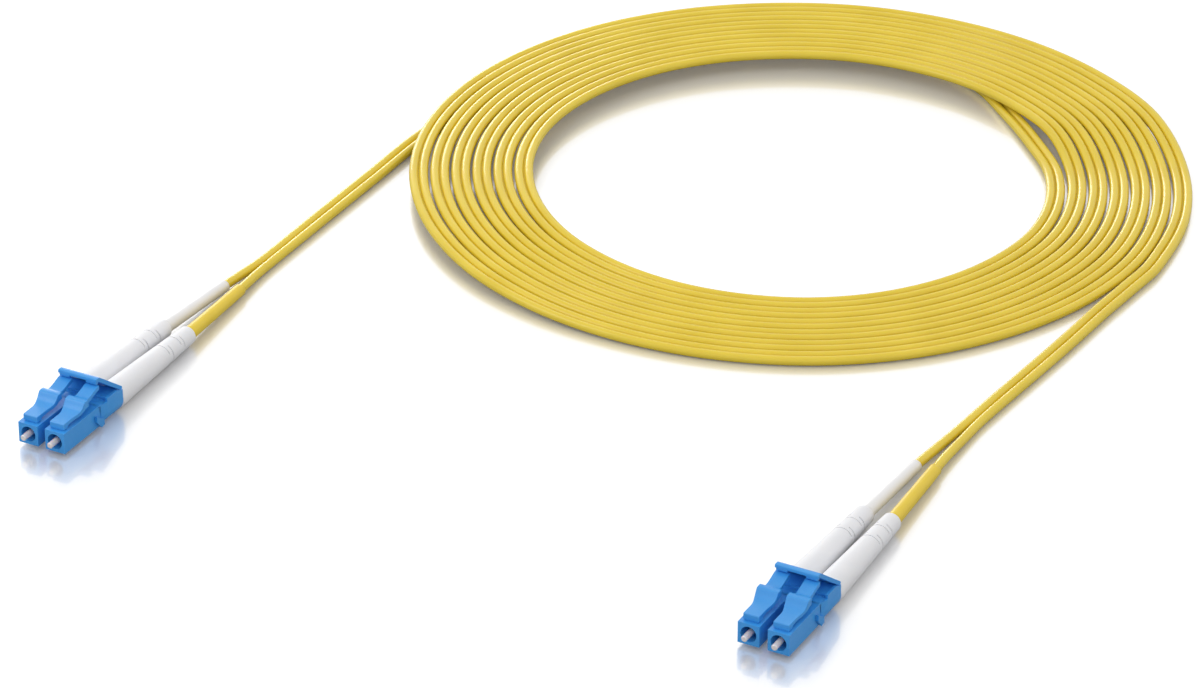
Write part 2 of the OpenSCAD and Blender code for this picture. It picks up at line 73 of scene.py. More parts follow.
def add_node(tree, kind, inputs=None, **settings):
    """Adds a shader node with its settings; an input is a value or the socket that feeds it."""
    node = tree.nodes.new(kind)
    for name, value in settings.items():
        setattr(node, name, value)
    for name, value in (inputs or {}).items():
        if isinstance(value, bpy.types.NodeSocket):
            tree.links.new(value, node.inputs[name])
        else:
            node.inputs[name].default_value = value
    return node


def linear(colour):
    """An sRGB hex colour as linear red, green, blue and alpha."""
    parts = [int(colour[i : i + 2], 16) / 255 for i in (1, 3, 5)]
    return [p / 12.92 if p <= 0.04045 else ((p + 0.055) / 1.055) ** 2.4 for p in parts] + [1.0]


# ---------- camera ----------

CAMERA_AT = Vector((443.64, -774.41, 528.30)) * MM
CAMERA_LOOK = Vector((-0.41366, 0.76761, -0.48955)).normalized()
camera_right = CAMERA_LOOK.cross(Vector((0, 0, 1))).normalized()
camera_up = camera_right.cross(CAMERA_LOOK)
lens = bpy.data.cameras.new("camera")
lens.sensor_fit = "HORIZONTAL"
lens.sensor_width = 36
lens.lens = 157.9
lens.clip_start = 0.05
camera = bpy.data.objects.new("camera", lens)
turn = Matrix((camera_right, camera_up, -CAMERA_LOOK)).transposed()
camera.matrix_world = Matrix.Translation(CAMERA_AT) @ turn.to_4x4()
bpy.context.scene.collection.objects.link(camera)
bpy.context.scene.camera = camera


# ---------- materials ----------


def new_material(name):
    material = bpy.data.materials.new(name)
    material.use_nodes = True
    tree = material.node_tree
    tree.nodes.clear()
    shader = tree.nodes.new("ShaderNodeBsdfPrincipled")
    output = tree.nodes.new("ShaderNodeOutputMaterial")
    tree.links.new(shader.outputs["BSDF"], output.inputs["Surface"])
    return material, tree, shader


def mottled(tree, place, scale, low, high, detail=3.0):
    """A colour that wanders between two hex colours over the surface."""
    noise = add_node(
        tree, "ShaderNodeTexNoise", {"Vector": place, "Scale": scale, "Detail": detail}
    )
    ramp = add_node(
        tree,
        "ShaderNodeMapRange",
        {"Value": noise.outputs["Fac"], "From Min": 0.15, "From Max": 0.85},
    )
    return add_node(
        tree,
        "ShaderNodeMix",
        {"Factor": ramp.outputs["Result"], "A": linear(low), "B": linear(high)},
        data_type="RGBA",
    ).outputs["Result"]


def uneven(tree, place, scale, low, high):
    """A value that wanders between two limits over the surface."""
    noise = add_node(tree, "ShaderNodeTexNoise", {"Vector": place, "Scale": scale, "Detail": 2.0})
    return add_node(
        tree,
        "ShaderNodeMapRange",
        {
            "Value": noise.outputs["Fac"],
            "From Min": 0.15,
            "From Max": 0.85,
            "To Min": low,
            "To Max": high,
        },
    ).outputs["Result"]


def grain_bump(tree, place, size_mm, height_mm, strength=1.0):
    """A fine moulded or drawn grain of a given grain size and height."""
    noise = add_node(
        tree, "ShaderNodeTexNoise", {"Vector": place, "Scale": 1000 / size_mm, "Detail": 2.0}
    )
    return add_node(
        tree,
        "ShaderNodeBump",
        {
            "Height": noise.outputs["Fac"],
            "Distance": height_mm * MM,
            "Strength": strength,
        },
    ).outputs["Normal"]


def jacket_pvc():
    # Extruded PVC cord jacket: soft waxy gloss, a faint fine grain, an even warm yellow.
    material, tree, shader = new_material("extruded_pvc_jacket")
    place = add_node(tree, "ShaderNodeTexCoord").outputs["Object"]
    shader.inputs["IOR"].default_value = 1.5
    colour = mottled(tree, place, 120, "#e4c832", "#ebd03e", detail=0.0)
    tree.links.new(colour, shader.inputs["Base Color"])
    tree.links.new(uneven(tree, place, 120, 0.21, 0.27), shader.inputs["Roughness"])
    tree.links.new(grain_bump(tree, place, 0.5, 0.0015), shader.inputs["Normal"])
    shader.inputs["Subsurface Weight"].default_value = 0.15
    shader.inputs["Subsurface Radius"].default_value = (1.0, 0.7, 0.2)
    shader.inputs["Subsurface Scale"].default_value = 0.0006
    return material


def moulded_pbt():
    # Injection moulded PBT: clean mid blue with a satin spark-eroded skin.
    material, tree, shader = new_material("moulded_pbt_blue")
    place = add_node(tree, "ShaderNodeTexCoord").outputs["Object"]
    shader.inputs["IOR"].default_value = 1.52
    tree.links.new(mottled(tree, place, 220, "#3797e3", "#409ee8"), shader.inputs["Base Color"])
    tree.links.new(uneven(tree, place, 700, 0.3, 0.42), shader.inputs["Roughness"])
    tree.links.new(grain_bump(tree, place, 0.12, 0.004), shader.inputs["Normal"])
    shader.inputs["Subsurface Weight"].default_value = 0.1
    shader.inputs["Subsurface Radius"].default_value = (0.2, 0.5, 1.0)
    shader.inputs["Subsurface Scale"].default_value = 0.0004
    return material


def boot_elastomer():
    # Moulded thermoplastic rubber: chalky white, no clear highlight, a little light bleeds through.
    material, tree, shader = new_material("moulded_white_elastomer")
    place = add_node(tree, "ShaderNodeTexCoord").outputs["Object"]
    shader.inputs["IOR"].default_value = 1.5
    tree.links.new(mottled(tree, place, 160, "#e7e7ea", "#efeff1"), shader.inputs["Base Color"])
    tree.links.new(uneven(tree, place, 400, 0.48, 0.6), shader.inputs["Roughness"])
    tree.links.new(grain_bump(tree, place, 0.2, 0.008), shader.inputs["Normal"])
    shader.inputs["Subsurface Weight"].default_value = 0.2
    shader.inputs["Subsurface Radius"].default_value = (1.0, 0.9, 0.8)
    shader.inputs["Subsurface Scale"].default_value = 0.0006
    return material


def shrink_tube(colour_name, low, high):
    # Shrunk polyolefin tube: smoother than the boot, with slight shrink waves.
    material, tree, shader = new_material(f"shrunk_polyolefin_{colour_name}")
    place = add_node(tree, "ShaderNodeTexCoord").outputs["Object"]
    shader.inputs["IOR"].default_value = 1.5
    tree.links.new(mottled(tree, place, 200, low, high), shader.inputs["Base Color"])
    tree.links.new(uneven(tree, place, 300, 0.36, 0.46), shader.inputs["Roughness"])
    tree.links.new(grain_bump(tree, place, 1.1, 0.02), shader.inputs["Normal"])
    return material


def polished_zirconia():
    # Ground and polished zirconia: dense warm white ceramic with a glassy skin.
    material, tree, shader = new_material("polished_zirconia")
    place = add_node(tree, "ShaderNodeTexCoord").outputs["Object"]
    shader.inputs["IOR"].default_value = 2.1
    tree.links.new(mottled(tree, place, 900, "#dcd2d4", "#e9e2e2"), shader.inputs["Base Color"])
    tree.links.new(uneven(tree, place, 900, 0.14, 0.22), shader.inputs["Roughness"])
    shader.inputs["Subsurface Weight"].default_value = 0.2
    shader.inputs["Subsurface Scale"].default_value = 0.0003
    return material


def turned_metal(name, low, high, roughness):
    # Turned or drawn metal: fine rings round the axis, which runs along Y.
    material, tree, shader = new_material(name)
    place = add_node(tree, "ShaderNodeTexCoord").outputs["Object"]
    shader.inputs["Metallic"].default_value = 1.0
    tree.links.new(mottled(tree, place, 500, low, high), shader.inputs["Base Color"])
    gloss = uneven(tree, place, 800, roughness - 0.05, roughness + 0.08)
    tree.links.new(gloss, shader.inputs["Roughness"])
    rings = add_node(
        tree,
        "ShaderNodeTexWave",
        {"Vector": place, "Scale": 1000 / 0.3, "Distortion": 0.4},
        bands_direction="Y",
    )
    bump = add_node(
        tree, "ShaderNodeBump", {"Height": rings.outputs["Fac"], "Distance": 0.003 * MM}
    )
    tree.links.new(bump.outputs["Normal"], shader.inputs["Normal"])
    return material


def buffer_coat():
    # Acrylate buffer over glass fibre: milky, slightly clear and shiny.
    material, tree, shader = new_material("acrylate_buffer")
    place = add_node(tree, "ShaderNodeTexCoord").outputs["Object"]
    shader.inputs["IOR"].default_value = 1.5
    tree.links.new(mottled(tree, place, 300, "#dfe6ec", "#eef2f5"), shader.inputs["Base Color"])
    tree.links.new(uneven(tree, place, 500, 0.2, 0.3), shader.inputs["Roughness"])
    return material


jacket = jacket_pvc()
blue = moulded_pbt()
elastomer = boot_elastomer()
shrink = {
    "left": shrink_tube("white", "#e9e8e8", "#f1f0f0"),
    "right": shrink_tube("yellow", "#e8c830", "#eed03c"),
}
zirconia = polished_zirconia()
steel = turned_metal("turned_nickelled_steel", "#a9aaab", "#bdbebf", 0.28)
spring_wire = turned_metal("drawn_spring_wire", "#9b9c9e", "#b4b5b6", 0.25)
crimp_brass = turned_metal("drawn_brass_tube", "#b08d45", "#c7a55c", 0.3)
buffer = buffer_coat()


# ---------- making pieces ----------


def seat(end, side=None):
    """The place of a connector's middle, or of a plug's axis, at the nose face."""
    x = END_X[end] + (PLUG_X[side] if side else 0)
    return Matrix.Translation(Vector((x, NOSE_Y[end], AXIS_Z)) * MM) @ Matrix.Scale(MM, 4)


def finish_piece(shape, name, place, material, body, nodes, sharp=35):
    """Turns a shape in millimetres into a piece that rides on a body and stands for CAD nodes."""
    bmesh.ops.transform(shape, matrix=place, verts=shape.verts)
    mesh = bpy.data.meshes.new(name)
    shape.to_mesh(mesh)
    shape.free()
    mesh.materials.append(material)
    mesh.shade_smooth()
    mesh.set_sharp_from_angle(angle=math.radians(sharp))
    piece = bpy.data.objects.new(name, mesh)
    bpy.context.scene.collection.objects.link(piece)
    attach(piece, body)
    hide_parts(*nodes)
    return piece


def round_edges(piece, width_mm, segments=2, angle=40):
    bevel = piece.modifiers.new("moulded_edges", "BEVEL")
    bevel.width = width_mm * MM
    bevel.segments = segments
    bevel.limit_method = "ANGLE"
    bevel.angle_limit = math.radians(angle)
    bevel.harden_normals = True
    return bevel


def turned_shape(profile, steps=64):
    """A closed profile of (radius, station) points spun about the Y axis."""
    shape = bmesh.new()
    points = [shape.verts.new((r, y, 0)) for r, y in profile]
    edges = [shape.edges.new((points[i - 1], points[i])) for i in range(len(points))]
    bmesh.ops.spin(
        shape,
        geom=points + edges,
        cent=(0, 0, 0),
        axis=(0, 1, 0),
        angle=2 * math.pi,
        steps=steps,
        use_merge=True,
    )
    bmesh.ops.remove_doubles(shape, verts=shape.verts, dist=1e-4)
    bmesh.ops.recalc_face_normals(shape, faces=shape.faces)
    return shape


def side_shape(profile, width):
    """A side view of (station, height) points, carried across X over a width."""
    shape = bmesh.new()
    face = shape.faces.new([shape.verts.new((-width / 2, y, z)) for y, z in profile])
    raised = bmesh.ops.extrude_face_region(shape, geom=[face])["geom"]
    moved = [g for g in raised if isinstance(g, bmesh.types.BMVert)]
    bmesh.ops.translate(shape, vec=(width, 0, 0), verts=moved)
    bmesh.ops.recalc_face_normals(shape, faces=shape.faces)
    return shape


def join_part(shape, part):
    """Adds a part to a shape and frees the part."""
    scrap = bpy.data.meshes.new("scrap")
    part.to_mesh(scrap)
    part.free()
    shape.from_mesh(scrap)
    bpy.data.meshes.remove(scrap)


def turn_about(shape, degrees, axis, verts=None):
    """Turns a shape, or some of its points, about an axis through the origin."""
    turn = Matrix.Rotation(math.radians(degrees), 3, axis)
    bmesh.ops.rotate(shape, cent=(0, 0, 0), matrix=turn, verts=verts or shape.verts)


def slice_along(shape, stations):
    """Cuts a shape across Y at each station, so that its plan can be shaped."""
    for y in stations:
        bmesh.ops.bisect_plane(
            shape,
            geom=shape.verts[:] + shape.edges[:] + shape.faces[:],
            plane_co=(0, y, 0),
            plane_no=(0, 1, 0),
            dist=1e-5,
        )


def between(plan, y):
    """The value at a station of a list of (station, value) points."""
    for (y0, v0), (y1, v1) in zip(plan, plan[1:]):
        if y <= y1:
            return v0 + (v1 - v0) * max(0.0, (y - y0) / (y1 - y0))
    return plan[-1][1]


def smooth_line(keys, step, lowest):
    """Points a step apart on a smooth line through key points, none under the lowest height."""
    keys = [Vector(k) for k in keys]
    reach = [0.0]
    for a, b in zip(keys, keys[1:]):
        reach.append(reach[-1] + (b - a).length)
    ways = []
    for i in range(len(keys)):
        low, high = max(i - 1, 0), min(i + 1, len(keys) - 1)
        ways.append((keys[high] - keys[low]) / (reach[high] - reach[low]))
    line = []
    for i in range(len(keys) - 1):
        span = reach[i + 1] - reach[i]
        cuts = max(1, math.ceil(span / step))
        for k in range(cuts):
            t = k / cuts
            line.append(
                keys[i] * (2 * t**3 - 3 * t**2 + 1)
                + ways[i] * span * (t**3 - 2 * t**2 + t)
                + keys[i + 1] * (3 * t**2 - 2 * t**3)
                + ways[i + 1] * span * (t**3 - t**2)
            )
            line[-1].z = max(line[-1].z, lowest)
    return line + [keys[-1]]


# ---------- the cord's route ----------

CORD_Z = STRAND_D / 2
JOIN = {"a": Vector((-80.5, 50.0, CORD_Z)), "b": Vector((78.85, 60.0, CORD_Z))}
# How far each leg strays from a straight line behind its sleeve, and each lead between its ends:
# the share of the way, how far sideways, and how far over the floor.
LEG_BOWS = {
    ("a", "left"): [(0.33, -0.15, 0.15)],
    ("a", "right"): [(0.54, -0.19, 0.15)],
    ("b", "left"): [(0.31, -0.14, 0.1), (0.65, -0.05, 0)],
    ("b", "right"): [(0.22, -0.25, 0.45), (0.61, -0.2, 0.15)],
}
LEAD_BOWS = {
    "a": [(0.33, -0.07, 0), (0.67, -0.05, 0)],
    "b": [(0.15, 0.14, 0), (0.3, 0, 0), (0.52, 0.2, 0), (0.72, 0.1, 0), (0.87, -0.05, 0)],
}
# The coil's points stand a ring step apart. The first ones run in under the turns.
RING_STEP = 15
UNDER_FROM = 195
UNDER_STEPS = [27.3, 21.7, 18.4, 16.5, 15.1, 13.7, 11.9, 9.5, 6.1, 1.3, -0.5, 0.3]
UNDER_RADII = [COIL_INNER_R + step for step in UNDER_STEPS]
SPIRAL_FROM = 68
COIL_LAST = (UNDER_FROM + 6 * 360) // RING_STEP
# How far every turn strays from an even spiral, at each ring from 0 degrees up.
TURN_STRAYS = [
    *(0.3, 0.1, 0, -0.6, -1.85, -2.6, -3.3, -3.6, -3.9, -3.6, -3.0, -2.3),
    *(-1.5, -0.8, -0.3, -0.1, -0.2, -0.8, -1.2, -1.0, -0.5, -0.3, -0.2, 0),
]
# The turns rise where they lie on the run under them: where the rise starts and is full,
# and where the fall starts and is done.
LIFT_H = STRAND_D + 0.5
LIFT_ANGLES = (25, 50, 200, 280)


def from_connector(end, x, y, z):
    return Vector((END_X[end] + x, NOSE_Y[end] + y, AXIS_Z + z))


def boot_point(side, along):
    share = along / BOOT_LEN
    return (PLUG_X[side] + BOOT_LEAN[side] * share, CLIP_REAR + along, -BOOT_DROOP * share)


def ring_angle(i):
    return UNDER_FROM - RING_STEP * i


def coil_radius(i):
    if i < len(UNDER_RADII):
        return UNDER_RADII[i]
    even = COIL_INNER_R + COIL_PITCH * (SPIRAL_FROM - ring_angle(i)) / 360
    return even + TURN_STRAYS[ring_angle(i) % 360 // RING_STEP]


def eased(angle, start, stop):
    return (1 - math.cos(math.pi * min(max((angle - start) / (stop - start), 0.0), 1.0))) / 2


def coil_lift(i):
    """Height of a turn over the floor: it lies on the end of the cord that runs under it."""
    if i < len(UNDER_RADII):
        return 0.0
    rise, full, fall, down = LIFT_ANGLES
    angle = ring_angle(i) % 360
    return LIFT_H * eased(angle, rise, full) * eased(angle, down, fall)


def coil_out(i):
    a = math.radians(ring_angle(i))
    return Vector((-1, 0, 0)) if i == 0 else Vector((math.cos(a), math.sin(a), 0))


def coil_point(i):
    a, r = math.radians(ring_angle(i)), coil_radius(i)
    x, y = COIL_CENTRE[0] + r * math.cos(a), COIL_CENTRE[1] + r * math.sin(a)
    return Vector((x, y, CORD_Z + coil_lift(i)))


def bowed(start, stop, bows):
    points = []
    for share, sideways, height in bows:
        p = start.lerp(stop, share)
        points.append(Vector((p.x + sideways, p.y, CORD_Z + height)))
    return points


def leg_keys(end, side):
    """A leg's points from its crimp stem to the join, with the join left off."""
    keys = [from_connector(end, PLUG_X[side], STEM_REAR + back, 0) for back in (0, STRAND_D)]
    keys += [from_connector(end, *boot_point(side, a)) for a in (11.6, 16.5, 22.5, 30.0)]
    start = from_connector(end, *boot_point(side, BOOT_LEN)) + SLEEVE_GAP
    stop = from_connector(end, *SLEEVE_END[end, side])
    keys += [start.lerp(stop, share) for share in (0.3, 0.65, 1)]
    shift = Vector(((-0.5 if side == "left" else 0.5) * STRAND_PITCH, 0, 0))
    return keys + bowed(keys[-1], JOIN[end] + shift, LEG_BOWS[end, side])


def twin_keys():
    """The twin cord's middle points from join to join, each with the way to its outer strand."""
    first, last = coil_point(0), coil_point(COIL_LAST)
    a_lead = [JOIN["a"]] + bowed(JOIN["a"], first, LEAD_BOWS["a"])
    b_lead = bowed(last, JOIN["b"], LEAD_BOWS["b"]) + [JOIN["b"]]
    middles = a_lead + [coil_point(i) for i in range(COIL_LAST + 1)] + b_lead
    outs = []
    for i, p in enumerate(middles):
        k = i - len(a_lead)
        if 0 <= k <= COIL_LAST:
            outs.append(coil_out(k))
        elif i in (0, len(middles) - 1):
            outs.append(Vector((-1 if i == 0 else 1, 0, 0)))
        else:
            way = middles[i + 1] - middles[i - 1]
            outs.append(Vector((-way.y, way.x, 0)).normalized())
    return middles, outs


def tube_curve(name, line, radius_mm, material):
    """A round cord along a line, as a curve of one open spline."""
    curve = bpy.data.curves.new(name, "CURVE")
    curve.dimensions = "3D"
    curve.bevel_depth = radius_mm * MM
    curve.bevel_resolution = 6
    curve.use_fill_caps = True
    curve.twist_mode = "Z_UP"
    spline = curve.splines.new("POLY")
    spline.points.add(len(line) - 1)
    for point, place in zip(spline.points, line):
        point.co = (*(place * MM), 1)
    spline.use_smooth = True
    curve.materials.append(material)
    piece = bpy.data.objects.new(name, curve)
    bpy.context.scene.collection.objects.link(piece)
    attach(piece, "cord")
    return piece


middles, outs = twin_keys()
# The outer strand runs from plug a left to plug b right, the inner one from a right to b left.
STRANDS = {"outer": ("left", "right", 0.5), "inner": ("right", "left", -0.5)}
twin_nodes = ("coil", "a_lead", "b_lead")
line_step = 3.2
web_r = 0.15
web_line = smooth_line(middles, line_step, CORD_Z)
web = tube_curve("cord_web", web_line, web_r, jacket)
for strand, (a_side, b_side, shift) in STRANDS.items():
    zipped = [m + o * (shift * STRAND_PITCH) for m, o in zip(middles, outs)]
    keys = leg_keys("a", a_side) + zipped + leg_keys("b", b_side)[::-1]
    line = smooth_line(keys, line_step, CORD_Z)
    piece = tube_curve(f"cord_{strand}_strand", line, STRAND_D / 2, jacket)
    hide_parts(*twin_nodes, f"a_{a_side}_leg", f"b_{b_side}_leg")


# ---------- plug housings ----------

RECESS_R = 1.65
RECESS_DEPTH = 3.6
STOP_HOLE_R = 1.25
STOP_WALL = 0.8
CHAMBER_R = 1.55
BARREL_R = 2.2
BARREL_REAR = 16.4


def housing_shape():
    half = NOSE_W / 2
    shape = bmesh.new()
    ring = bmesh.ops.create_circle(shape, cap_ends=False, segments=32, radius=RECESS_R)["verts"]
    square = bmesh.ops.create_grid(shape, x_segments=8, y_segments=8, size=half)["verts"]
    inside = [v for v in square if max(abs(v.co.x), abs(v.co.y)) < half - 1e-4]
    bmesh.ops.delete(shape, geom=inside, context="VERTS")
    square = [v for v in square if v.is_valid]
    bmesh.ops.delete(shape, geom=shape.faces[:], context="FACES_KEEP_BOUNDARY")
    # both rings lie in the nose face, with the hole's first point on a corner's line
    turn_about(shape, 45, "Z", ring)
    bmesh.ops.bridge_loops(shape, edges=shape.edges[:])
    outer = [e for e in shape.edges if e.is_boundary and all(v in square for v in e.verts)]
    inner = [e for e in shape.edges if e.is_boundary and e not in outer]

    def carry(edges, steps):
        """Draws a loop on in steps of (depth, new radius share)."""
        for depth, grow in steps:
            made = bmesh.ops.extrude_edge_only(shape, edges=edges)["geom"]
            verts = [g for g in made if isinstance(g, bmesh.types.BMVert)]
            bmesh.ops.translate(shape, vec=(0, 0, depth), verts=verts)
            bmesh.ops.scale(shape, vec=(grow, grow, 1), verts=verts)
            edges = [g for g in made if isinstance(g, bmesh.types.BMEdge)]
            edges = [e for e in edges if e.is_boundary]
        return edges

    wall = carry(outer, [(NOSE_LEN, 1)])
    bore = [(RECESS_DEPTH, 1), (0, STOP_HOLE_R / RECESS_R), (STOP_WALL, 1)]
    bore += [(0, CHAMBER_R / STOP_HOLE_R), (NOSE_LEN - RECESS_DEPTH - STOP_WALL, 1)]
    deep = carry(inner, bore)
    bmesh.ops.bridge_loops(shape, edges=wall + deep)
    # the nose was built along Z: lay it along Y
    turn_about(shape, -90, "X")
    bmesh.ops.recalc_face_normals(shape, faces=shape.faces)
    return shape


def add_block(shape, low, high, bevel_mm=0.12):
    """Adds a block with eased edges to a shape."""
    block = bmesh.new()
    bmesh.ops.create_cube(block, size=1)
    low, high = Vector(low), Vector(high)
    bmesh.ops.scale(block, vec=high - low, verts=block.verts)
    bmesh.ops.translate(block, vec=(low + high) / 2, verts=block.verts)
    bmesh.ops.bevel(
        block,
        geom=block.edges[:],
        offset=bevel_mm,
        offset_type="OFFSET",
        segments=2,
        profile=0.5,
        affect="EDGES",
        material=-1,
    )
    join_part(shape, block)


def add_housing(end, side):
    half = NOSE_W / 2
    shape = housing_shape()
    overlap = 0.4
    barrel_front = NOSE_LEN - overlap
    barrel = [(CHAMBER_R, barrel_front), (BARREL_R, barrel_front), (BARREL_R, BARREL_REAR)]
    join_part(shape, turned_shape(barrel + [(CHAMBER_R, BARREL_REAR)]))
    add_block(shape, (-half, NOSE_LEN - 0.6, 1.75), (half, 15.45, half))
    # the root that joins the latch arm to the nose
    add_block(shape, (-1.5, 1.15, half - 0.1), (1.5, 2.3, half + 0.18), 0.03)
    piece = finish_piece(
        shape,
        f"{end}_{side}_plug_housing",
        seat(end, side),
        blue,
        "cord",
        [f"{end}_{side}_housing"],
    )
    round_edges(piece, 0.14, 3)


# ---------- latch arms ----------

ARM_SIDE = [
    (1.0, 2.41),
    (1.0, 3.6),
    (1.14, 3.74),
    (4.2, 3.74),
    (4.8, 3.75),
    (5.3, 3.79),
    (5.75, 3.87),
    (6.1, 3.97),
    (6.45, 4.13),
    (6.75, 4.33),
    (7.05, 4.62),
    (7.3, 4.92),
    (7.5, 5.2),
    (7.68, 5.4),
    (7.9, 5.5),
    (8.3, 5.53),
    (8.9, 5.54),
    (9.12, 5.46),
    (9.35, 5.25),
    (9.6, 5.08),
    (10.0, 5.03),
    (10.5, 5.08),
    (11.0, 5.18),
    (11.6, 5.34),
    (12.4, 5.6),
    (13.3, 5.89),
    (14.2, 6.05),
    (14.2, 5.1),
    (13.3, 4.9),
    (12.4, 4.65),
    (11.6, 4.4),
    (10.6, 4.15),
    (9.5, 4.0),
    (8.6, 3.96),
    (8.0, 3.88),
    (7.2, 3.5),
    (6.5, 3.25),
    (5.9, 3.1),
    (5.0, 2.97),
    (4.2, 2.9),
    (2.7, 2.85),
    (2.4, 2.41),
]
ARM_PLAN = [
    (1.0, 1.65),
    (4.2, 1.65),
    (4.7, 1.69),
    (5.3, 1.8),
    (5.9, 1.95),
    (6.5, 2.11),
    (7.2, 2.23),
    (7.6, 2.25),
    (9.16, 2.25),
    (9.2, 1.5),
    (14.2, 1.5),
]


def add_latch(end, side):
    shape = side_shape(ARM_SIDE, 2)
    slice_along(shape, [y for y, _ in ARM_PLAN[1:-1]])
    for v in shape.verts:
        v.co.x *= between(ARM_PLAN, v.co.y)
    piece = finish_piece(
        shape,
        f"{end}_{side}_latch_arm",
        seat(end, side),
        blue,
        f"{end}_{side}_latch_arm",
        [f"{end}_{side}_latch"],
    )
    round_edges(piece, 0.1, 2, 50)


# ---------- triggers ----------

HINGE_Y = CLIP_REAR - 0.5
HINGE_Z = 2.95
KNUCKLE_R = 0.42
BAR_FRONT = 13.4
PLATE_FRONT = 14.6
PLATE_TOP = 7.66
PAD_R = 0.5
PAD_LEN = 2.4
PAD_Y = 14.0
PAD_Z = 6.67


def trigger_profile():
    """The side view: a rounded bar, the sloping plate and the round knuckle at its rear."""
    slope = math.atan2(PLATE_TOP - HINGE_Z, HINGE_Y - PLATE_FRONT) - math.radians(3.2)
    bar_top = [(BAR_FRONT, 6.98), (BAR_FRONT, 7.42), (13.47, 7.58), (13.64, PLATE_TOP)]
    bar_top += [(14.3, PLATE_TOP), (PLATE_FRONT, 7.63)]
    bar_under = [(PLATE_FRONT, 6.54), (14.35, 6.72), (14.1, 6.86), (13.52, 6.86)]
    knuckle = []
    for k in range(13):
        a = math.pi / 2 - slope - math.pi * k / 12
        knuckle.append((HINGE_Y + KNUCKLE_R * math.cos(a), HINGE_Z + KNUCKLE_R * math.sin(a)))
    return bar_top + knuckle + bar_under


def add_trigger(end):
    plan = [(BAR_FRONT, 4.55), (PLATE_FRONT, 4.55), (20.3, 6.0), (20.4, 6.0)]
    shape = side_shape(trigger_profile(), 2)
    slice_along(shape, [PLATE_FRONT])
    for v in shape.verts:
        v.co.x *= between(plan, v.co.y)
    for x in PLUG_X.values():
        pad = bmesh.new()
        bmesh.ops.create_cone(
            pad, cap_ends=True, segments=32, radius1=PAD_R, radius2=PAD_R, depth=PAD_LEN
        )
        turn_about(pad, 90, "Y")
        bmesh.ops.translate(pad, vec=(x, PAD_Y, PAD_Z), verts=pad.verts)
        join_part(shape, pad)
    piece = finish_piece(
        shape,
        f"{end}_trigger_plate",
        seat(end),
        blue,
        f"{end}_trigger_arm",
        [f"{end}_trigger"],
    )
    round_edges(piece, 0.08, 2, 50)


# ---------- clips ----------


def add_clip(end):
    """The duplex clip, from a merged copy of its solid, with eased edges."""
    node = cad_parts[f"{end}_clip"]
    shape = bmesh.new()
    shape.from_mesh(node.data)
    bmesh.ops.remove_doubles(shape, verts=shape.verts, dist=1e-6)
    bmesh.ops.dissolve_limit(
        shape, angle_limit=math.radians(1), verts=shape.verts, edges=shape.edges
    )
    piece = finish_piece(
        shape,
        f"{end}_duplex_clip",
        Matrix.Identity(4),
        blue,
        "cord",
        [f"{end}_clip"],
    )
    round_edges(piece, 0.08, 2, 40)


# ---------- boots and marker sleeves ----------

# each flex slot: its place along the boot, and the angle of the middle of one of its two arcs
SLOTS = [(19.3, 90), (20.5, 0), (24.0, 90), (25.2, 0)]
SLOT_DEPTH = 0.45
SLOT_HALF_ARC = 68
SLOT_RINGS = (-0.24, -0.15, -0.11, 0.11, 0.15, 0.24)
SLOT_REACH = 0.13
BOOT_FRONT_R = 3.0
BOOT_REAR_R = 2.0
HOLLOW_R = 1.9
HOLLOW_DEPTH = 10.1
CORD_BORE_R = 1.15
SLEEVE_FRONT_R = 1.45
SLEEVE_REAR_R = 1.3


def add_boot(end, side):
    taper = (BOOT_FRONT_R - BOOT_REAR_R) / BOOT_LEN
    profile = [(CORD_BORE_R, BOOT_LEN), (CORD_BORE_R, HOLLOW_DEPTH + 0.5)]
    profile += [(HOLLOW_R, HOLLOW_DEPTH), (HOLLOW_R, 0.0), (BOOT_FRONT_R, 0.0)]
    for along, _ in SLOTS:
        for edge in SLOT_RINGS:
            y = along + edge
            profile.append((BOOT_FRONT_R - taper * y, y))
    # one ring part of the way to the slots keeps the long faces short
    ring_y = 9.0
    profile.insert(5, (BOOT_FRONT_R - taper * ring_y, ring_y))
    round_r = 0.5
    for k in range(9):
        a = math.pi / 2 * k / 8
        in_by, back_by = round_r * (1 - math.cos(a)), round_r * (1 - math.sin(a))
        profile.append((BOOT_REAR_R - in_by, BOOT_LEN - back_by))
    shape = turned_shape(profile, 144)
    for v in shape.verts:
        r, y = math.hypot(v.co.x, v.co.z), v.co.y
        for along, middle in SLOTS:
            if abs(y - along) > SLOT_REACH or r < HOLLOW_R:
                continue
            # two arcs on opposite sides, with ends that run out round
            a = math.degrees(math.atan2(v.co.z, v.co.x)) - middle
            a = abs((a + 90) % 180 - 90)
            depth = SLOT_DEPTH * min(1.0, max(0.0, (SLOT_HALF_ARC - a) / 6))
            v.co.x *= (r - depth) / r
            v.co.z *= (r - depth) / r
    for v in shape.verts:
        share = v.co.y / BOOT_LEN
        v.co.x += BOOT_LEAN[side] * share
        v.co.z -= BOOT_DROOP * share
        v.co.y += CLIP_REAR
    finish_piece(
        shape,
        f"{end}_{side}_flex_boot",
        seat(end, side),
        elastomer,
        "cord",
        [f"{end}_{side}_boot"],
        sharp=40,
    )


